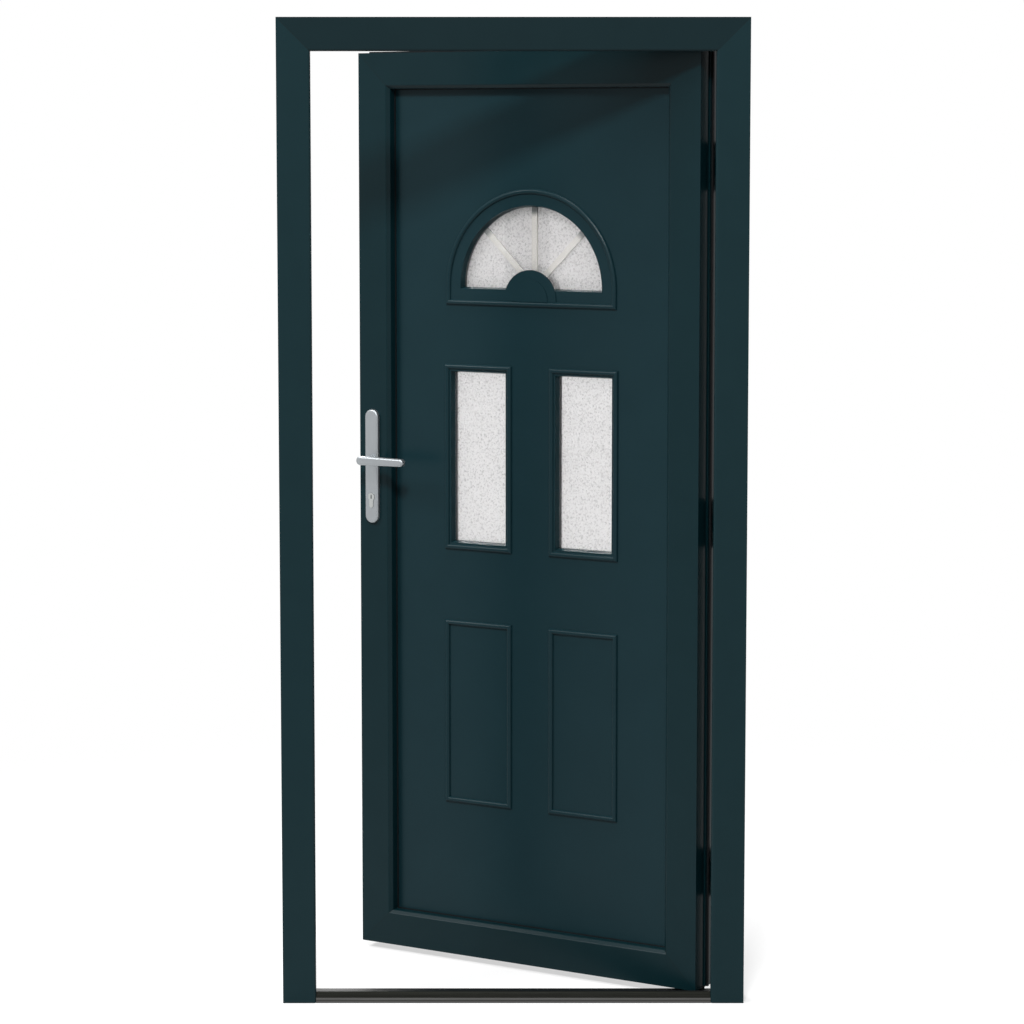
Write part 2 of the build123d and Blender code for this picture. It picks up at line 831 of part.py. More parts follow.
# Lock faceplate let into the edge groove, with a hole for the latch and each bolt
with BuildPart() as lock_faceplate:
    face_middle = (leaf_bottom + leaf_top) / 2
    face_length = leaf_height - 2 * face_end
    face_width = groove_width - 2 * lock_room
    face_plane = Plane(origin=(-half_leaf + groove_depth, keep_y, 0), x_dir=(0, -1, 0), z_dir=(-1, 0, 0))
    with BuildSketch(face_plane):
        with Locations((0, face_middle)):
            SlotOverall(face_length, face_width, rotation=90)
        for place, height, thick in bolt_places:
            with Locations((0, place)):
                Rectangle(thick + 2 * lock_room, height + 2 * lock_room, mode=Mode.SUBTRACT)
    extrude(amount=groove_depth)
leaf_nodes["lock_faceplate"] = lock_faceplate


def lock_box(low, high, reach, channels):
    """Closed lock housing behind the faceplate with a sliding channel for each bolt."""
    near = -half_leaf + groove_depth
    far = -half_leaf + reach
    block(near, far, case_low_y, case_high_y, low, high)
    for place, height, thick in channels:
        half_y = thick / 2 + lock_room
        half_z = height / 2 + lock_room
        stop = far - sash_wall
        block(near, stop, keep_y - half_y, keep_y + half_y, place - half_z, place + half_z, Mode.SUBTRACT)


with BuildPart() as lock_case:
    lock_box(*box_spans[0], bolt_places[:2])
    lock_hole(lambda: Circle(follower_radius + running_fit), handle_height)
    lock_hole(lambda: euro_shape(cut_room), cylinder_height)
    cam_span = cam_thick + 2 * cam_room
    with BuildSketch(outdoor_plane(lock_plane - cam_span / 2, lock_x, cylinder_height)):
        Circle(cam_reach + cam_room)
    extrude(amount=-cam_span, mode=Mode.SUBTRACT)
leaf_nodes["lock_case"] = lock_case

with BuildPart() as bolt_boxes:
    for span, bolt_place in zip(box_spans[1:], bolt_places[2:]):
        lock_box(*span, [bolt_place])
leaf_nodes["bolt_boxes"] = bolt_boxes


def bolt(place, length, throw_now):
    """Plain bolt with eased edges at its tip, drawn back into its housing."""
    height = place[1]
    thick = place[2]
    tip = -half_leaf - throw_now
    half_y = thick / 2
    block(tip, tip + length, keep_y - half_y, keep_y + half_y, place[0] - height / 2, place[0] + height / 2)


with BuildPart() as latch:
    bolt(bolt_places[0], latch_length, latch_throw)
    nose = latch.edges().filter_by(Axis.Z).group_by(Axis.X)[0].sort_by(Axis.Y)[0]
    chamfer(nose, length=latch_throw - lock_room, length2=latch_thick - bolt_tip_round)
leaf_nodes["latch"] = latch

for bolt_name, bolt_place, length in (
    ("deadbolt", bolt_places[1], deadbolt_grip + bolt_throw),
    ("upper_bolt", bolt_places[2], bolt_grip + bolt_throw),
    ("lower_bolt", bolt_places[3], bolt_grip + bolt_throw),
):
    with BuildPart() as sliding_bolt:
        bolt(bolt_place, length, 0)
        tip_edges = sliding_bolt.faces().sort_by(Axis.X)[0].edges()
        chamfer(tip_edges, length=bolt_tip_round)
    leaf_nodes[bolt_name] = sliding_bolt

# Profile cylinder through the leaf, split round its cam in the middle
cylinder_end = plate_thick + euro_proud
cylinder_length = leaf_depth + 2 * cylinder_end
with BuildPart() as cylinder_body:
    with BuildSketch(outdoor_plane(-cylinder_end, lock_x, cylinder_height)):
        euro_shape()
        Circle(plug_radius, mode=Mode.SUBTRACT)
    extrude(amount=-cylinder_length)
    with BuildSketch(outdoor_plane(lock_plane - cam_span / 2, lock_x, cylinder_height)):
        Circle(cam_reach + cam_room)
    extrude(amount=-cam_span, mode=Mode.SUBTRACT)
leaf_nodes["cylinder_body"] = cylinder_body

with BuildPart() as cylinder_plugs:
    plug_length = (cylinder_length - cam_thick) / 2
    for plane in (
        outdoor_plane(-cylinder_end, lock_x, cylinder_height),
        indoor_plane(leaf_depth + cylinder_end, lock_x, cylinder_height),
    ):
        with BuildSketch(plane):
            Circle(plug_radius - running_fit)
        extrude(amount=-plug_length)
        with BuildSketch(plane):
            Rectangle(key_width, key_height)
        extrude(amount=-key_depth, mode=Mode.SUBTRACT)
leaf_nodes["cylinder_plugs"] = cylinder_plugs

with BuildPart() as cylinder_cam:
    with BuildSketch(outdoor_plane(lock_plane - cam_thick / 2, lock_x, cylinder_height)):
        Circle(euro_round)
        patch(-cam_width / 2, cam_width / 2, 0, cam_reach - cam_room)
    extrude(amount=-cam_thick)
leaf_nodes["cylinder_cam"] = cylinder_cam

with BuildPart() as lock_follower:
    with BuildSketch(outdoor_plane(lock_plane - case_thick / 2, lock_x, handle_height)):
        Circle(follower_radius)
        follower_square = spindle_side + 2 * spindle_room
        Rectangle(follower_square, follower_square, mode=Mode.SUBTRACT)
    extrude(amount=-case_thick)
leaf_nodes["lock_follower"] = lock_follower

with BuildPart() as spindle:
    spindle_end = plate_thick + spindle_entry - neck_seat
    with BuildSketch(outdoor_plane(-spindle_end, lock_x, handle_height)):
        Rectangle(spindle_side, spindle_side)
    extrude(amount=-(leaf_depth + 2 * spindle_end))
leaf_nodes["spindle"] = spindle


def handle_plate(plane, screw_holes):
    """Round-ended plate with a bore for the lever's neck and the cylinder's outline."""
    plate_middle = plate_above - plate_height / 2
    with BuildSketch(plane) as plate:
        with Locations((0, plate_middle)):
            SlotOverall(plate_height, plate_width, rotation=90)
    extrude(plate.sketch, amount=plate_thick)
    plate_top = faces().sort_by(Axis(plane.origin, plane.z_dir))[-1]
    fillet(plate_top.edges(), radius=plate_round)
    with BuildSketch(plane) as bores:
        Circle(neck_radius + running_fit)
        with Locations((0, -cylinder_drop)):
            euro_shape(cut_room)
    extrude(bores.sketch, amount=plate_thick, mode=Mode.SUBTRACT)
    with BuildSketch(plane) as screws:
        with Locations((0, screw_rise), (0, -screw_drop)):
            Circle(screw_radius + screw_room)
    extrude(screws.sketch, amount=screw_holes, mode=Mode.SUBTRACT)


def lever(plane, side):
    """Lever: neck in the plate, collar and a tapering bar towards the hinges."""
    with BuildSketch(plane.offset(-neck_seat)) as neck:
        Circle(neck_radius)
    extrude(neck.sketch, amount=neck_seat + neck_length + lever_thick / 2)
    with BuildSketch(plane) as collar:
        Circle(collar_radius)
    extrude(collar.sketch, amount=collar_height)
    with BuildSketch(plane.offset(neck_length)) as grip:
        Circle(lever_root)
        with Locations((side * lever_reach, 0)):
            Circle(lever_tip)
        make_hull()
    extrude(grip.sketch, amount=lever_thick)
    top_face = faces().sort_by(Axis(plane.origin, plane.z_dir))[-1]
    fillet(top_face.edges(), radius=lever_round)
    hole_side = spindle_side + 2 * spindle_room
    with BuildSketch(plane.offset(-neck_seat)) as socket:
        Rectangle(hole_side, hole_side)
    extrude(socket.sketch, amount=spindle_entry + spindle_room, mode=Mode.SUBTRACT)


outer_plate_plane = outdoor_plane(0, lock_x, handle_height)
inner_plate_plane = indoor_plane(leaf_depth, lock_x, handle_height)

with BuildPart() as outer_handle_plate:
    handle_plate(outer_plate_plane, screw_bite + screw_room)
leaf_nodes["outer_handle_plate"] = outer_handle_plate

with BuildPart() as inner_handle_plate:
    handle_plate(inner_plate_plane, plate_thick + overrun)
    for screw_place in (screw_rise, -screw_drop):
        with BuildSketch(inner_plate_plane.offset(plate_thick)):
            with Locations((0, screw_place)):
                Circle(screw_head + screw_room)
        extrude(amount=-(screw_head - screw_radius), taper=45, mode=Mode.SUBTRACT)
leaf_nodes["inner_handle_plate"] = inner_handle_plate

with BuildPart() as outer_lever:
    lever(outer_plate_plane.offset(plate_thick), 1)
leaf_nodes["outer_lever"] = outer_lever

with BuildPart() as inner_lever:
    lever(inner_plate_plane.offset(plate_thick), -1)
leaf_nodes["inner_lever"] = inner_lever

# Countersunk screws from the inner plate into the outer one
with BuildPart() as handle_screws:
    for screw_place in (screw_rise, -screw_drop):
        head_plane = inner_plate_plane.offset(plate_thick)
        with BuildSketch(head_plane):
            with Locations((0, screw_place)):
                Circle(screw_head)
        extrude(amount=-(screw_head - screw_radius), taper=45)
        with BuildSketch(head_plane):
            with Locations((0, screw_place)):
                Circle(screw_radius)
        extrude(amount=-(plate_thick + leaf_depth + screw_bite))
leaf_nodes["handle_screws"] = handle_screws

for name, piece in frame_nodes.items():
    piece.part.label = name
    export_step(piece.part, "parts/" + name + ".step")

for name, piece in leaf_nodes.items():
    opened = piece.part.moved(swing)
    opened.label = name
    export_step(opened, "parts/" + name + ".step")
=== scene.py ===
"""Looks of the panelled front door in its frame: finishes, small screws, light and camera."""
import json
from math import cos, pi, radians, sin, tau

import bpy
from mathutils import Matrix, Vector


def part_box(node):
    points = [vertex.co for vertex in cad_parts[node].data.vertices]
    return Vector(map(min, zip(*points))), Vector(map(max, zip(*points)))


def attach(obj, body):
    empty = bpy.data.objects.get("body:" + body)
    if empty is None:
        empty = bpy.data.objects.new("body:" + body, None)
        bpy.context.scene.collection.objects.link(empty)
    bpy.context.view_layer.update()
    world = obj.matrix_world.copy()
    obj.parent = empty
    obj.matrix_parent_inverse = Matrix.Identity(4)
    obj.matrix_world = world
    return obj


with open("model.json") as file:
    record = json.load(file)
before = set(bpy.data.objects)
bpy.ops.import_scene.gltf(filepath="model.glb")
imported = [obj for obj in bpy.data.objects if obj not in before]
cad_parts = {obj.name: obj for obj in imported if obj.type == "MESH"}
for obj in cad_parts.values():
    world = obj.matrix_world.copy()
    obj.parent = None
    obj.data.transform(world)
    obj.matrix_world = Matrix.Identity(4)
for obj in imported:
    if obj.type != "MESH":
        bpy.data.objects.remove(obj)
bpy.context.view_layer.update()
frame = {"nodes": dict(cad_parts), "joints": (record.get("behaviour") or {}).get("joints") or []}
scene = bpy.context.scene
scene.view_settings.view_transform = "Standard"

MM = 0.001
nodes = frame["nodes"]
leaf_hinge = next(joint for joint in frame["joints"] if joint["name"] == "leaf_swing")
open_angle = radians(-leaf_hinge["range_deg"][0])
hinge_axis = Vector((leaf_hinge["pos_m"][0], leaf_hinge["pos_m"][1], 0))
turn_open = Matrix.Rotation(-open_angle, 4, "Z")
swing = Matrix.Translation(hinge_axis) @ turn_open @ Matrix.Translation(-hinge_axis)
unswing = swing.inverted()

hinge_names = ("lower", "middle", "upper")

# Sizes of the shut door that the seams, painted bar-end shadows and screws follow, in metres
half_frame = 0.490
frame_height = 2.080
half_leaf = 0.427
leaf_bottom = 0.015
leaf_top = 2.017
leaf_front = -0.019
leaf_back = 0.051
frame_back = 0.041
fan_radius = 0.1745
fan_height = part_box("arch_bars")[1][2] - fan_radius
bar_depth = 0.047
shadow_length = 0.016
fan_depth = leaf_front + bar_depth
shadow_reach = fan_radius - shadow_length


def linear(code):
    """Linear colour of an sRGB hex value."""
    parts = [int(code[i:i + 2], 16) / 255 for i in (1, 3, 5)]
    return [c / 12.92 if c <= 0.04045 else ((c + 0.055) / 1.055) ** 2.4 for c in parts] + [1]


def add_node(tree, kind, settings=None, values=None, links=None):
    """Add a node, set its properties and sockets, and link its inputs; twin socket names go by number."""
    made = tree.nodes.new(kind)
    for name, value in (settings or {}).items():
        setattr(made, name, value)
    for name, value in (values or {}).items():
        made.inputs[name].default_value = value
    for name, source in (links or {}).items():
        tree.links.new(source, made.inputs[name])
    return made


def start_finish(name, **values):
    """New material with one principled shader; returns it, its tree, shader and object coordinates."""
    material = bpy.data.materials.new(name)
    material.use_nodes = True
    tree = material.node_tree
    tree.nodes.clear()
    place = add_node(tree, "ShaderNodeTexCoord").outputs["Object"]
    shader = add_node(tree, "ShaderNodeBsdfPrincipled", values=values)
    add_node(tree, "ShaderNodeOutputMaterial", links={"Surface": shader.outputs["BSDF"]})
    return material, tree, shader, place


def profile_pvc(name, shade, lit, cross_shade, on_leaf):
    """Foil-laminated PVC profile: satin, faintly mottled, with a seam at each mitre and painted shade on the
    cross pieces.
    """
    material, tree, shader, place = start_finish(name, **{"IOR": 1.5, "Specular IOR Level": 0.13})
    if on_leaf:
        shut = add_node(
            tree, "ShaderNodeMapping",
            values={"Location": unswing.translation, "Rotation": (0, 0, open_angle)},
            links={"Vector": place},
        ).outputs["Vector"]
        middle_height = (leaf_bottom + leaf_top) / 2
        corner_lead = (leaf_top - leaf_bottom) / 2 - half_leaf
    else:
        shut = place
        middle_height = 0
        corner_lead = frame_height - half_frame
    mottle = add_node(
        tree, "ShaderNodeTexNoise",
        values={"Scale": 1 / (60 * MM), "Detail": 2, "Roughness": 0.5},
        links={"Vector": place},
    ).outputs["Fac"]
    colour = add_node(
        tree, "ShaderNodeMix", {"data_type": "RGBA"},
        {6: linear(shade), 7: linear(lit)}, {0: mottle},
    ).outputs[2]
    # Foil grain of about 0.5 mm, drawn at 1.5 mm so that it shows
    grain = add_node(
        tree, "ShaderNodeTexNoise",
        values={"Scale": 1 / (1.5 * MM), "Detail": 3, "Roughness": 0.6},
        links={"Vector": place},
    ).outputs["Fac"]
    rough = add_node(
        tree, "ShaderNodeMapRange",
        values={"From Min": 0.3, "From Max": 0.7, "To Min": 0.27, "To Max": 0.34},
        links={"Value": grain},
    ).outputs["Result"]
    # Seam: a dark line along the 45 degree line through each corner
    seam_width = 1.2 * MM
    axes = add_node(tree, "ShaderNodeSeparateXYZ", links={"Vector": shut}).outputs
    across = add_node(tree, "ShaderNodeMath", {"operation": "ABSOLUTE"}, links={0: axes["X"]}).outputs[0]
    offset = add_node(
        tree, "ShaderNodeMath", {"operation": "SUBTRACT"}, {1: middle_height}, {0: axes["Z"]}
    ).outputs[0]
    height = add_node(tree, "ShaderNodeMath", {"operation": "ABSOLUTE"}, links={0: offset}).outputs[0]
    lead = add_node(
        tree, "ShaderNodeMath", {"operation": "SUBTRACT"}, links={0: height, 1: across}
    ).outputs[0]
    seam = add_node(
        tree, "ShaderNodeMath", {"operation": "COMPARE"}, {1: corner_lead, 2: seam_width / 2}, {0: lead}
    ).outputs[0]
    # Painted shade: the cross pieces are multiplied a little darker than the uprights, standing in for the
    # foil catching less light across its grain
    crosswise = add_node(
        tree, "ShaderNodeMath", {"operation": "GREATER_THAN"}, {1: corner_lead}, {0: lead}
    ).outputs[0]
    colour = add_node(
        tree, "ShaderNodeMix", {"data_type": "RGBA", "blend_type": "MULTIPLY"},
        {7: linear(cross_shade)}, {0: crosswise, 6: colour},
    ).outputs[2]
    seam_colour = add_node(
        tree, "ShaderNodeMix", {"data_type": "RGBA"}, {7: linear("#0c1a1c")}, {0: seam, 6: colour}
    ).outputs[2]
    grain_bump = add_node(
        tree, "ShaderNodeBump", values={"Strength": 0.08, "Distance": 0.05 * MM}, links={"Height": grain}
    ).outputs["Normal"]
    tree.links.new(seam_colour, shader.inputs["Base Color"])
    tree.links.new(rough, shader.inputs["Roughness"])
    tree.links.new(grain_bump, shader.inputs["Normal"])
    return material


def moulded_skin():
    """Moulded panel skin: smooth satin with a fine leather-like grain."""
    material, tree, shader, place = start_finish(
        "moulded_panel_skin", **{"IOR": 1.5, "Specular IOR Level": 0.13}
    )
    mottle = add_node(
        tree, "ShaderNodeTexNoise",
        values={"Scale": 1 / (90 * MM), "Detail": 2, "Roughness": 0.5},
        links={"Vector": place},
    ).outputs["Fac"]
    colour = add_node(
        tree, "ShaderNodeMix", {"data_type": "RGBA"},
        {6: linear("#0d272d"), 7: linear("#112b31")}, {0: mottle},
    ).outputs[2]
    # Grain cells of about 0.6 mm, drawn at 2 mm so that they show
    grain = add_node(
        tree, "ShaderNodeTexVoronoi", {"feature": "SMOOTH_F1"},
        {"Scale": 1 / (2 * MM), "Smoothness": 0.6}, {"Vector": place},
    ).outputs["Distance"]
    rough = add_node(
        tree, "ShaderNodeMapRange",
        values={"From Min": 0.1, "From Max": 0.6, "To Min": 0.27, "To Max": 0.34},
        links={"Value": grain},
    ).outputs["Result"]
    bump = add_node(
        tree, "ShaderNodeBump", values={"Strength": 0.06, "Distance": 0.05 * MM}, links={"Height": grain}
    ).outputs["Normal"]
    tree.links.new(colour, shader.inputs["Base Color"])
    tree.links.new(rough, shader.inputs["Roughness"])
    tree.links.new(bump, shader.inputs["Normal"])
    return material


def seal_rubber():
    """Extruded black rubber: dull, with faint dust in its pores."""
    material, tree, shader, place = start_finish(
        "black_seal_rubber", **{"IOR": 1.5, "Specular IOR Level": 0.15}
    )
    dust = add_node(
        tree, "ShaderNodeTexNoise",
        values={"Scale": 1 / (4 * MM), "Detail": 4, "Roughness": 0.7},
        links={"Vector": place},
    ).outputs["Fac"]
    colour = add_node(
        tree, "ShaderNodeMix", {"data_type": "RGBA"},
        {6: linear("#0b0c0e"), 7: linear("#151719")}, {0: dust},
    ).outputs[2]
    rough = add_node(
        tree, "ShaderNodeMapRange", values={"To Min": 0.55, "To Max": 0.75}, links={"Value": dust}
    ).outputs["Result"]
    tree.links.new(colour, shader.inputs["Base Color"])
    tree.links.new(rough, shader.inputs["Roughness"])
    return material


def drawn_metal(name, dark, light, rough_low, rough_high, stretch, line, spangle=None, nose=None):
    """Metal with drawn or brushed lines, or zinc spangles; a nose is a paler strip along its foot, painted
    light, with a darker line across it painted as shade.
    """
    material, tree, shader, place = start_finish(name, **{"Metallic": 1})
    along = add_node(
        tree, "ShaderNodeMapping", values={"Scale": stretch}, links={"Vector": place}
    ).outputs["Vector"]
    lines = add_node(
        tree, "ShaderNodeTexNoise",
        values={"Scale": 1 / line, "Detail": 4, "Roughness": 0.65},
        links={"Vector": along},
    ).outputs["Fac"]
    pattern = lines
    if spangle:
        cells = add_node(
            tree, "ShaderNodeTexVoronoi", values={"Scale": 1 / spangle}, links={"Vector": place}
        ).outputs["Color"]
        pattern = add_node(tree, "ShaderNodeSeparateColor", links={"Color": cells}).outputs["Red"]
    colour = add_node(
        tree, "ShaderNodeMix", {"data_type": "RGBA"}, {6: linear(dark), 7: linear(light)}, {0: pattern}
    ).outputs[2]
    if nose:
        # Painted light: paler colour below the nose top; at the joint height the base colour is left as a
        # painted shade line
        top, joint, pale = nose
        shade_line_width = 1.2 * MM
        height = add_node(tree, "ShaderNodeSeparateXYZ", links={"Vector": place}).outputs["Z"]
        low = add_node(tree, "ShaderNodeMath", {"operation": "LESS_THAN"}, {1: top}, {0: height}).outputs[0]
        shade_line_at = add_node(
            tree, "ShaderNodeMath", {"operation": "COMPARE"}, {1: joint, 2: shade_line_width / 2}, {0: height}
        ).outputs[0]
        painted_light_band = add_node(
            tree, "ShaderNodeMath", {"operation": "SUBTRACT"}, links={0: low, 1: shade_line_at}
        ).outputs[0]
        colour = add_node(
            tree, "ShaderNodeMix", {"data_type": "RGBA"}, {7: linear(pale)}, {0: painted_light_band, 6: colour}
        ).outputs[2]
    rough = add_node(
        tree, "ShaderNodeMapRange",
        values={"From Min": 0.3, "From Max": 0.7, "To Min": rough_low, "To Max": rough_high},
        links={"Value": pattern},
    ).outputs["Result"]
    bump = add_node(
        tree, "ShaderNodeBump", values={"Strength": 0.1, "Distance": 0.03 * MM}, links={"Height": lines}
    ).outputs["Normal"]
    tree.links.new(colour, shader.inputs["Base Color"])
    tree.links.new(rough, shader.inputs["Roughness"])
    tree.links.new(bump, shader.inputs["Normal"])
    return material


def pebbled_glass(name, pale, speck_shade, clear):
    """Satin ornamental glass: milky, with a bump of pebbles about 3 mm across and grey specks painted into
    its colour as shade for light bent by the pebbles.
    """
    material, tree, shader, place = start_finish(
        name, **{"IOR": 1.5, "Transmission Weight": clear, "Roughness": 0.3}
    )
    pebbles = add_node(
        tree, "ShaderNodeTexVoronoi", {"feature": "SMOOTH_F1"},
        {"Scale": 1 / (3 * MM), "Smoothness": 0.8, "Randomness": 1}, {"Vector": place},
    ).outputs["Distance"]
    # Painted shade: the grey specks stand in for light bent by the pebbles
    specks = add_node(
        tree, "ShaderNodeTexNoise",
        values={"Scale": 1 / (4.5 * MM), "Detail": 2, "Roughness": 0.6},
        links={"Vector": place},
    ).outputs["Fac"]
    amount = add_node(
        tree, "ShaderNodeMapRange",
        values={"From Min": 0.47, "From Max": 0.70},
        links={"Value": specks},
    ).outputs["Result"]
    colour = add_node(
        tree, "ShaderNodeMix", {"data_type": "RGBA"}, {6: linear(pale), 7: linear(speck_shade)}, {0: amount}
    ).outputs[2]
    bump = add_node(
        tree, "ShaderNodeBump", values={"Strength": 0.5, "Distance": 0.4 * MM}, links={"Height": pebbles}
    ).outputs["Normal"]
    tree.links.new(colour, shader.inputs["Base Color"])
    tree.links.new(bump, shader.inputs["Normal"])
    return material


def float_glass():
    """Clear float glass, smooth, with a faint waviness."""
    material, tree, shader, place = start_finish(
        "clear_float_glass",
        **{"Base Color": linear("#fdfcfc"), "IOR": 1.5, "Transmission Weight": 1, "Roughness": 0.02},
    )
    wave = add_node(
        tree, "ShaderNodeTexNoise", values={"Scale": 1 / (80 * MM), "Detail": 1}, links={"Vector": place}
    ).outputs["Fac"]
    bump = add_node(
        tree, "ShaderNodeBump", values={"Strength": 0.05, "Distance": 0.1 * MM}, links={"Height": wave}
    ).outputs["Normal"]
    tree.links.new(bump, shader.inputs["Normal"])
    return material


def spacer_plastic():
    """Grey moulded spacer bar that holds the panes apart: matt, faintly speckled."""
    material, tree, shader, place = start_finish(
        "grey_spacer_plastic", **{"IOR": 1.5, "Specular IOR Level": 0.3}
    )
    speckle = add_node(
        tree, "ShaderNodeTexNoise", values={"Scale": 1 / (3 * MM), "Detail": 3}, links={"Vector": place}
    ).outputs["Fac"]
    colour = add_node(
        tree, "ShaderNodeMix", {"data_type": "RGBA"},
        {6: linear("#5c5f60"), 7: linear("#6c6f70")}, {0: speckle},
    ).outputs[2]
    rough = add_node(
        tree, "ShaderNodeMapRange", values={"To Min": 0.45, "To Max": 0.65}, links={"Value": speckle}
    ).outputs["Result"]
    tree.links.new(colour, shader.inputs["Base Color"])
    tree.links.new(rough, shader.inputs["Roughness"])
    return material


def hinge_coat():
    """Powder-coated hinge steel: even dark green with a faint orange-peel surface."""
    material, tree, shader, place = start_finish(
        "powder_coated_steel", **{"IOR": 1.5, "Specular IOR Level": 0.15}
    )
    peel = add_node(
        tree, "ShaderNodeTexNoise", values={"Scale": 1 / (2.5 * MM), "Detail": 2}, links={"Vector": place}
    ).outputs["Fac"]
    colour = add_node(
        tree, "ShaderNodeMix", {"data_type": "RGBA"},
        {6: linear("#13292b"), 7: linear("#172e30")}, {0: peel},
    ).outputs[2]
    rough = add_node(
        tree, "ShaderNodeMapRange", values={"To Min": 0.3, "To Max": 0.4}, links={"Value": peel}
    ).outputs["Result"]
    bump = add_node(
        tree, "ShaderNodeBump", values={"Strength": 0.15, "Distance": 0.08 * MM}, links={"Height": peel}
    ).outputs["Normal"]
    tree.links.new(colour, shader.inputs["Base Color"])
    tree.links.new(rough, shader.inputs["Roughness"])
    tree.links.new(bump, shader.inputs["Normal"])
    return material


def lacquered_bar():
    """Off-white lacquered glazing bar, fading to dark grey at its outer end as a painted shadow of the arch
    frame.
    """
    material, tree, shader, place = start_finish("off_white_lacquer", **{"IOR": 1.5})
    mottle = add_node(
        tree, "ShaderNodeTexNoise", values={"Scale": 1 / (15 * MM), "Detail": 2}, links={"Vector": place}
    ).outputs["Fac"]
    colour = add_node(
        tree, "ShaderNodeMix", {"data_type": "RGBA"},
        {6: linear("#e9e8e3"), 7: linear("#f1f0eb")}, {0: mottle},
    ).outputs[2]
    # Painted shadow: dark grey near the arch frame stands in for the frame's shadow on the bars
    fan_centre = swing @ Vector((0, fan_depth, fan_height))
    reach = add_node(
        tree, "ShaderNodeVectorMath", {"operation": "DISTANCE"}, {1: fan_centre}, {0: place}
    ).outputs["Value"]
    fade_before = 5 * MM
    fade_after = 8 * MM
    bar_end_shadow = add_node(
        tree, "ShaderNodeMapRange",
        values={"From Min": shadow_reach - fade_before, "From Max": shadow_reach + fade_after},
        links={"Value": reach},
    ).outputs["Result"]
    colour = add_node(
        tree, "ShaderNodeMix", {"data_type": "RGBA"}, {7: linear("#868a8a")}, {0: bar_end_shadow, 6: colour}
    ).outputs[2]
    rough = add_node(
        tree, "ShaderNodeMapRange", values={"To Min": 0.3, "To Max": 0.42}, links={"Value": mottle}
    ).outputs["Result"]
    tree.links.new(colour, shader.inputs["Base Color"])
    tree.links.new(rough, shader.inputs["Roughness"])
    return material


frame_pvc = profile_pvc(
    "frame_pvc_foil", shade="#0b252a", lit="#0f292e", cross_shade="#dadada", on_leaf=False
)
leaf_pvc = profile_pvc(
    "leaf_pvc_foil", shade="#052025", lit="#092429", cross_shade="#f6f6f6", on_leaf=True
)
panel_skin = moulded_skin()
rubber = seal_rubber()
# Extruded and dark anodised: near black with long drawn lines; its nose is painted paler as light on its
# front, with a dark line painted as shade at its edge
nose_top = 10.9 * MM
shade_line_height = 6 * MM
sill_metal = drawn_metal(
    "dark_anodised_aluminium", "#1b1c19", "#2a2b28", rough_low=0.28, rough_high=0.45,
    stretch=(1 / 60, 1, 1), line=2 * MM, nose=(nose_top, shade_line_height, "#4c4c4b"),
)
# Brushed and left bare: pale grey with fine upright lines
steel = drawn_metal(
    "brushed_stainless_steel", "#9da0a2", "#bcbfc0", rough_low=0.26, rough_high=0.40,
    stretch=(1, 1, 1 / 60), line=1 * MM,
)
# Plated and lightly polished: bright, with a fine even sheen
nickel = drawn_metal(
    "satin_nickel", "#a9acab", "#c2c5c4", rough_low=0.26, rough_high=0.36,
    stretch=(1, 1, 1), line=0.8 * MM,
)
# Brushed, then anodised: dull silver with soft upright lines
silver = drawn_metal(
    "satin_anodised_aluminium", "#919598", "#a2a6a9", rough_low=0.40, rough_high=0.50,
    stretch=(1, 1, 1 / 30), line=0.8 * MM,
)
# Dipped in zinc: mid grey with frosty spangles about 9 mm across
zinc_steel = drawn_metal(
    "galvanised_steel", "#8c9194", "#b3b8bb", rough_low=0.35, rough_high=0.5,
    stretch=(1, 1, 1 / 20), line=2 * MM, spangle=9 * MM,
)
window_glass = pebbled_glass("pebbled_window_glass", pale="#ffffff", speck_shade="#b0b0b0", clear=0.8)
arch_glass = pebbled_glass("pebbled_fanlight_glass", pale="#ffffff", speck_shade="#c6c6c6", clear=0.28)
clear_glass = float_glass()
spacer_grey = spacer_plastic()
coated_steel = hinge_coat()
bar_lacquer = lacquered_bar()

node_finishes = {
    frame_pvc: ["left_jamb", "right_jamb", "head"],
    leaf_pvc: [
        "lock_stile", "top_rail", "hinge_stile", "bottom_rail",
        "lock_stile_bead", "top_rail_bead", "hinge_stile_bead", "bottom_rail_bead",
    ],
    panel_skin: [
        "door_panel", "arch_outer_frame", "arch_inner_frame",
        "left_window_outer_frame", "left_window_inner_frame",
        "right_window_outer_frame", "right_window_inner_frame",
    ],
    rubber: ["frame_seal", "panel_seal", "leaf_seal", "bottom_seal"],
    sill_metal: ["threshold"],
    steel: [
        "strike_plate", "bolt_keeps", "lock_faceplate", "lock_case", "bolt_boxes", "latch", "deadbolt",
        "upper_bolt", "lower_bolt", "lock_follower", "spindle", "handle_screws", "hinge_pins",
    ],
    nickel: ["cylinder_body", "cylinder_plugs", "cylinder_cam"],
    silver: ["outer_lever", "inner_lever", "outer_handle_plate", "inner_handle_plate"],
    spacer_grey: ["arch_spacer", "window_spacers"],
    zinc_steel: ["frame_steels", "leaf_steels"],
    window_glass: ["window_inner_panes"],
    arch_glass: ["arch_inner_pane"],
    clear_glass: ["arch_outer_pane", "window_outer_panes"],
    bar_lacquer: ["arch_bars"],
    coated_steel: [f"{hinge}_hinge_{wing}_wing" for hinge in hinge_names for wing in ("frame", "leaf")],
}
for finish, names in node_finishes.items():
    for name in names:
        nodes[name].data.materials.clear()
        nodes[name].data.materials.append(finish)


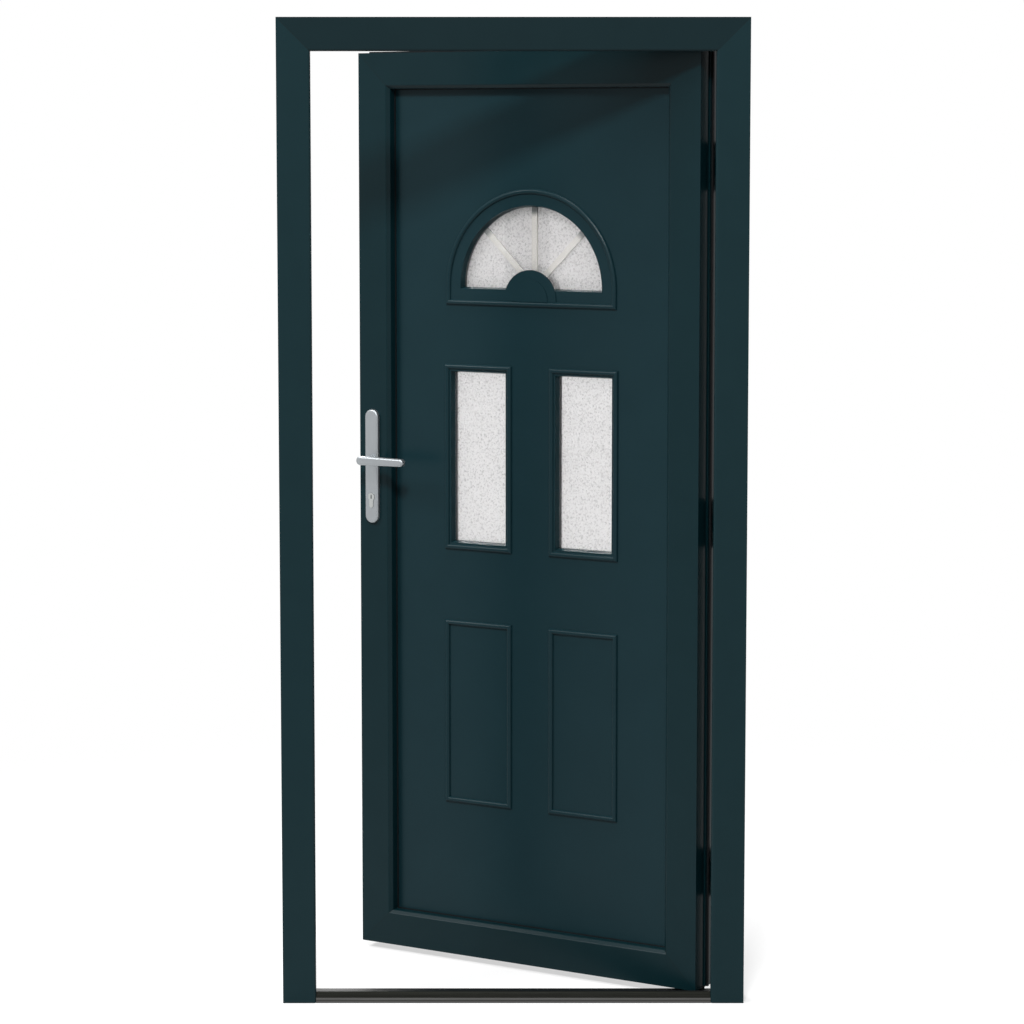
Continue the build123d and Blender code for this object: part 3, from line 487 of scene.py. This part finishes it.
def screw_tree(finish):
    """Geometry nodes that set a cross-recessed screw head at each point, along its facing vector."""
    tree = bpy.data.node_groups.new("cross_head_screws", "GeometryNodeTree")
    for name, kind, default in (
        ("Points", "NodeSocketGeometry", None),
        ("Head Diameter", "NodeSocketFloat", 8 * MM),
        ("Head Height", "NodeSocketFloat", 0.6 * MM),
        ("Slot Length", "NodeSocketFloat", 4.6 * MM),
        ("Slot Width", "NodeSocketFloat", 0.9 * MM),
    ):
        socket = tree.interface.new_socket(name, in_out="INPUT", socket_type=kind)
        if default is not None:
            socket.default_value = default
    tree.interface.new_socket("Screws", in_out="OUTPUT", socket_type="NodeSocketGeometry")
    given = add_node(tree, "NodeGroupInput").outputs
    times = {"operation": "MULTIPLY"}
    radius = add_node(tree, "ShaderNodeMath", times, {1: 0.5}, {0: given["Head Diameter"]})
    crown = add_node(tree, "ShaderNodeMath", times, {1: 0.8}, {0: radius.outputs[0]})
    depth = add_node(tree, "ShaderNodeMath", times, {1: 2}, {0: given["Head Height"]})
    rise = add_node(tree, "ShaderNodeMath", times, {1: 1.25}, {0: given["Head Height"]})
    head = add_node(
        tree, "GeometryNodeMeshCone", values={"Vertices": 24},
        links={
            "Radius Top": crown.outputs[0], "Radius Bottom": radius.outputs[0],
            "Depth": given["Head Height"],
        },
    )
    slot_long = add_node(
        tree, "ShaderNodeCombineXYZ",
        links={"X": given["Slot Length"], "Y": given["Slot Width"], "Z": depth.outputs[0]},
    )
    slot_cross = add_node(
        tree, "ShaderNodeCombineXYZ",
        links={"X": given["Slot Width"], "Y": given["Slot Length"], "Z": depth.outputs[0]},
    )
    cutters = []
    for slot in (slot_long, slot_cross):
        box = add_node(tree, "GeometryNodeMeshCube", links={"Size": slot.outputs[0]})
        lift = add_node(tree, "ShaderNodeCombineXYZ", links={"Z": rise.outputs[0]})
        moved = add_node(
            tree, "GeometryNodeTransform",
            links={"Geometry": box.outputs["Mesh"], "Translation": lift.outputs[0]},
        )
        cutters.append(moved.outputs["Geometry"])
    cut = add_node(
        tree, "GeometryNodeMeshBoolean", {"operation": "DIFFERENCE"},
        links={"Mesh 1": head.outputs["Mesh"]},
    )
    for cutter in cutters:
        tree.links.new(cutter, cut.inputs["Mesh 2"])
    facing = add_node(
        tree, "GeometryNodeInputNamedAttribute", {"data_type": "FLOAT_VECTOR"}, {"Name": "facing"}
    )
    turn = add_node(
        tree, "FunctionNodeAlignRotationToVector", {"axis": "Z"},
        links={"Vector": facing.outputs["Attribute"]},
    )
    placed = add_node(
        tree, "GeometryNodeInstanceOnPoints",
        links={
            "Points": given["Points"], "Instance": cut.outputs["Mesh"],
            "Rotation": turn.outputs["Rotation"],
        },
    )
    real = add_node(tree, "GeometryNodeRealizeInstances", links={"Geometry": placed.outputs["Instances"]})
    dressed = add_node(
        tree, "GeometryNodeSetMaterial", values={"Material": finish},
        links={"Geometry": real.outputs["Geometry"]},
    )
    add_node(tree, "NodeGroupOutput", links={"Screws": dressed.outputs["Geometry"]})
    return tree


def set_screws(name, tree, places, diameter, body):
    """Turn points with facing vectors into a plain mesh of screw heads that rides on a body."""
    points = bpy.data.meshes.new(name)
    points.from_pydata([place for place, facing in places], [], [])
    facings = points.attributes.new("facing", "FLOAT_VECTOR", "POINT")
    for i, (place, facing) in enumerate(places):
        facings.data[i].vector = facing
    carrier = bpy.data.objects.new(name + "_points", points)
    scene.collection.objects.link(carrier)
    slot_share = 0.6
    modifier = carrier.modifiers.new("screws", "NODES")
    modifier.node_group = tree
    modifier[tree.interface.items_tree["Head Diameter"].identifier] = diameter
    modifier[tree.interface.items_tree["Slot Length"].identifier] = slot_share * diameter
    result = carrier.evaluated_get(bpy.context.evaluated_depsgraph_get())
    mesh = bpy.data.meshes.new_from_object(result)
    carrier.modifiers.remove(modifier)
    bpy.data.objects.remove(carrier)
    piece = bpy.data.objects.new(name, mesh)
    scene.collection.objects.link(piece)
    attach(piece, body)


# Screw heads on the hinge wings, the keeps and the lock faceplate
wing_middle_frame = 0.462
wing_middle_leaf = 0.414
wing_thick = 0.005
wing_screw_rise = 0.034
hinge_heights = [
    sum(corner[2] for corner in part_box(f"{h}_hinge_frame_wing")) / 2 for h in hinge_names
]
indoors = Vector((0, 1, 0))
leaf_indoors = swing.to_3x3() @ indoors
frame_screws = []
leaf_screws = []
for hinge_height in hinge_heights:
    for rise in (-wing_screw_rise, 0, wing_screw_rise):
        height = hinge_height + rise
        frame_screws.append((Vector((wing_middle_frame, frame_back + wing_thick, height)), indoors))
        place = Vector((wing_middle_leaf, leaf_back + wing_thick, height))
        leaf_screws.append((swing @ place, leaf_indoors))
keep_end = 9 * MM
keep_length = 72 * MM
lock_depth = 0.016
across = Vector((1, 0, 0))
keep_screws = []
(strike_low, strike_high), (keep_low, keep_high) = [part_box(name) for name in ("strike_plate", "bolt_keeps")]
keep_ends = (
    (strike_low[2], strike_high[2]),
    (keep_low[2], keep_low[2] + keep_length),
    (keep_high[2] - keep_length, keep_high[2]),
)
for low, high in keep_ends:
    for height in (low + keep_end, high - keep_end):
        keep_screws.append((Vector((strike_high[0], lock_depth, height)), across))
face_screws = []
face_screw_heights = (0.167, 0.360, 0.480, 0.700, 0.975, 1.190, 1.450, 1.700, 1.820, 1.865)
for height in face_screw_heights:
    face_screws.append((swing @ Vector((-half_leaf, lock_depth, height)), swing.to_3x3() @ -across))
screws = screw_tree(steel)
hinge_screw_head = 8 * MM
keep_screw_head = 7 * MM
face_screw_head = 6.5 * MM
set_screws("frame_hinge_screws", screws, frame_screws, hinge_screw_head, "frame")
set_screws("leaf_hinge_screws", screws, leaf_screws, hinge_screw_head, "leaf")
set_screws("keep_screws", screws, keep_screws, keep_screw_head, "frame")
set_screws("lock_faceplate_screws", screws, face_screws, face_screw_head, "leaf")

# Pale floor that fades into the white background and keeps a faint shadow
floor_mesh = bpy.data.meshes.new("floor")
floor_radius = 3.2
floor_drop = 0.5 * MM
rim_count = 96
rim_angles = [tau * i / rim_count for i in range(rim_count)]
rim = [(floor_radius * cos(angle), floor_radius * sin(angle), -floor_drop) for angle in rim_angles]
floor_mesh.from_pydata(rim, [], [tuple(range(rim_count))])
floor = bpy.data.objects.new("floor", floor_mesh)
scene.collection.objects.link(floor)
floor_paint, tree, shader, place = start_finish(
    "pale_floor", **{"Roughness": 0.9, "Specular IOR Level": 0}
)
path = add_node(tree, "ShaderNodeLightPath").outputs
shade = add_node(
    tree, "ShaderNodeMix", {"data_type": "RGBA"},
    {6: linear("#acacac"), 7: linear("#8c8c8c")}, {0: path["Is Diffuse Ray"]},
).outputs[2]
glow = add_node(
    tree, "ShaderNodeMix", {"data_type": "FLOAT"}, {2: 0.6, 3: 0}, {0: path["Is Diffuse Ray"]}
).outputs[0]
shader.inputs["Emission Color"].default_value = linear("#ffffff")
tree.links.new(shade, shader.inputs["Base Color"])
tree.links.new(glow, shader.inputs["Emission Strength"])
fade_start = 0.7
clear_rim = 0.2
fade_end = floor_radius - clear_rim
distance = add_node(
    tree, "ShaderNodeVectorMath", {"operation": "LENGTH"}, links={0: place}
).outputs["Value"]
cover = add_node(
    tree, "ShaderNodeMapRange", {"interpolation_type": "SMOOTHSTEP"},
    {"From Min": fade_start, "From Max": fade_end, "To Min": 1, "To Max": 0}, {"Value": distance},
).outputs["Result"]
tree.links.new(cover, shader.inputs["Alpha"])
floor_mesh.materials.append(floor_paint)

# White surroundings seen directly, in metal and through glass; a dimmer even light on the surfaces
world = bpy.data.worlds.new("studio")
scene.world = world
world.use_nodes = True
tree = world.node_tree
tree.nodes.clear()
path = add_node(tree, "ShaderNodeLightPath").outputs
seen = add_node(
    tree, "ShaderNodeMath", {"operation": "MAXIMUM"},
    links={0: path["Is Camera Ray"], 1: path["Is Glossy Ray"]},
).outputs[0]
seen = add_node(
    tree, "ShaderNodeMath", {"operation": "MAXIMUM"}, links={0: seen, 1: path["Is Transmission Ray"]}
).outputs[0]
soft = add_node(tree, "ShaderNodeBackground", values={"Color": linear("#ffffff"), "Strength": 0.27})
white = add_node(tree, "ShaderNodeBackground", values={"Color": linear("#ffffff"), "Strength": 1})
mixed = add_node(tree, "ShaderNodeMixShader", links={0: seen, 1: soft.outputs[0], 2: white.outputs[0]})
add_node(tree, "ShaderNodeOutputWorld", links={"Surface": mixed.outputs[0]})


def add_softbox(name, azimuth, elevation, distance, size, power):
    """Square soft light aimed at the door's middle; azimuth turns from the front towards the hinge side."""
    aim_height = 1.1
    target = Vector((0, 0, aim_height))
    away = Vector((
        sin(radians(azimuth)) * cos(radians(elevation)),
        -cos(radians(azimuth)) * cos(radians(elevation)),
        sin(radians(elevation)),
    ))
    lamp = bpy.data.lights.new(name, "AREA")
    lamp.shape = "SQUARE"
    lamp.size = size
    lamp.energy = power
    holder = bpy.data.objects.new(name, lamp)
    holder.location = target + away * distance
    holder.rotation_euler = (-away).to_track_quat("-Z", "Y").to_euler()
    scene.collection.objects.link(holder)


add_softbox("key_softbox", azimuth=-6, elevation=41.5, distance=10, size=1.1, power=675)
add_softbox("left_softbox", azimuth=-71, elevation=38, distance=8, size=2.8, power=320)
add_softbox("top_softbox", azimuth=-20, elevation=80, distance=8, size=1.6, power=250)
add_softbox("back_softbox", azimuth=195, elevation=38, distance=10, size=3.0, power=680)

camera_pitch_down = radians(6.094)
camera_data = bpy.data.cameras.new("camera")
camera_data.lens = 112.189
camera_data.sensor_width = 36
camera_data.shift_y = -0.04
camera = bpy.data.objects.new("camera", camera_data)
camera.location = (-0.0028, -6.6756, 1.8475)
camera.rotation_euler = (pi / 2 - camera_pitch_down, 0, 0)
scene.collection.objects.link(camera)
scene.camera = camera
